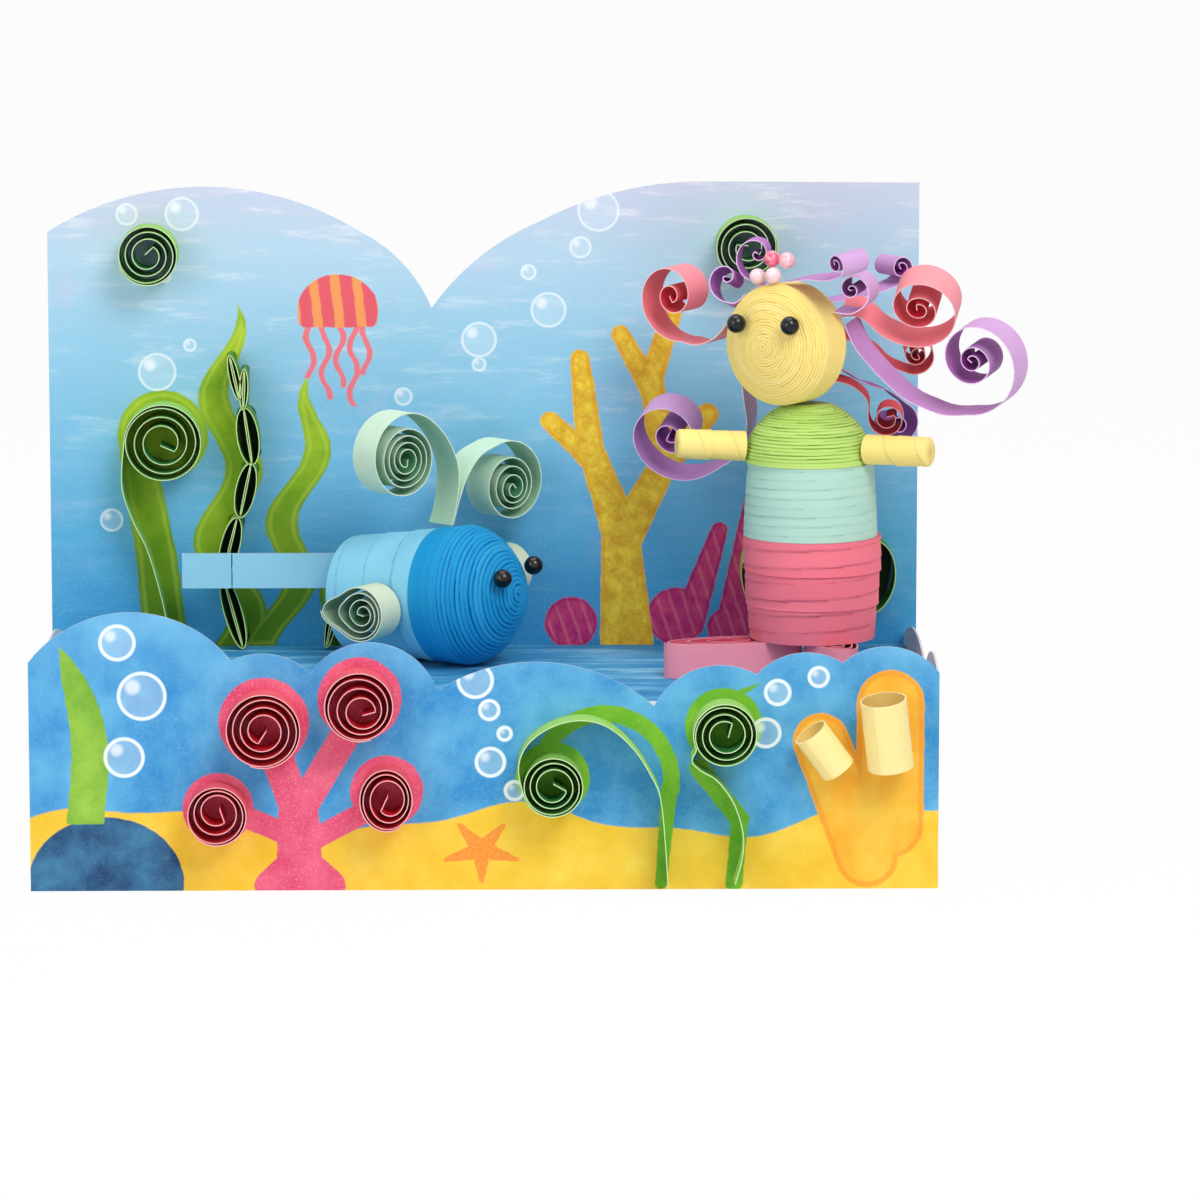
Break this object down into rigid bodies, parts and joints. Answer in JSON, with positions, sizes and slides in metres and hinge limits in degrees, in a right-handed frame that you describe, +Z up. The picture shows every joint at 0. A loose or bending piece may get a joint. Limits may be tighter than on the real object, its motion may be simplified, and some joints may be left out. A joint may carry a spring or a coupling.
{
  "type": "quilled paper diorama",
  "caption": "Quilled paper seascape: a folded card tray with a backdrop and a deck, carrying strip coils and scrolls, a coiled whale and a coiled doll with curled hair.",
  "frame": {"origin": "the middle of the front wall's foot, on the table", "axes": "+X to the right, +Y from the front wall towards the backdrop, +Z up"},
  "size_m": [0.3089, 0.1287, 0.2093],
  "materials": {
    "printed_card": "printed card, matt",
    "blue_paper": "matt dyed paper",
    "cream_paper": "matt dyed paper",
    "green_paper": "matt dyed paper",
    "pink_paper": "matt dyed paper",
    "mint_paper": "matt dyed paper",
    "lime_paper": "matt dyed paper",
    "yellow_paper": "matt dyed paper",
    "red_paper": "matt dyed paper",
    "lilac_paper": "matt dyed paper",
    "pearl_bead": "glossy bead",
    "black_bead": "glossy bead"
  },
  "bodies": {
    "root": {"arch_scroll": "green_paper", "backdrop_panel": "printed_card", "coil_backdrop_left": "green_paper", "coil_backdrop_right": "green_paper", "coral_coil_1": "red_paper", "coral_coil_2": "red_paper", "coral_coil_3": "red_paper", "coral_coil_4": "red_paper", "curl_big_loop": "lilac_paper", "curl_lilac_brow": "lilac_paper", "curl_lilac_crown": "lilac_paper", "curl_lilac_left": "lilac_paper", "curl_lilac_top": "lilac_paper", "curl_pink_left": "pink_paper", "curl_pink_ring": "pink_paper", "curl_purple_low": "lilac_paper", "curl_purple_side": "lilac_paper", "curl_purple_top": "lilac_paper", "curl_red_low": "red_paper", "curl_red_middle": "red_paper", "deck_platform": "printed_card", "doll_arm_left": "yellow_paper", "doll_arm_right": "yellow_paper", "doll_bodice": "lime_paper", "doll_cap": "red_paper", "doll_eye_left": "black_bead", "doll_eye_right": "black_bead", "doll_face": "yellow_paper", "doll_skirt": "pink_paper", "doll_waist": "mint_paper", "fern_scroll": "green_paper", "hair_bead_1": "pearl_bead", "hair_bead_2": "pearl_bead", "hair_bead_3": "pearl_bead", "hair_bead_4": "pearl_bead", "leaf_behind_left": "green_paper", "leaf_behind_right": "green_paper", "leaf_behind_whale": "green_paper", "reed_scroll": "green_paper", "seaweed_chain": "green_paper", "sponge_tube_short": "yellow_paper", "sponge_tube_tall": "yellow_paper", "tail_fin_left": "pink_paper", "tail_fin_right": "pink_paper", "wave_tray": "printed_card", "whale_body": "blue_paper", "whale_eye_far": "black_bead", "whale_eye_near": "black_bead", "whale_fin_far": "cream_paper", "whale_fin_near": "cream_paper", "whale_head": "blue_paper", "whale_spout_left": "green_paper", "whale_spout_right": "green_paper", "whale_tail": "blue_paper"}
  },
  "joints": []
}
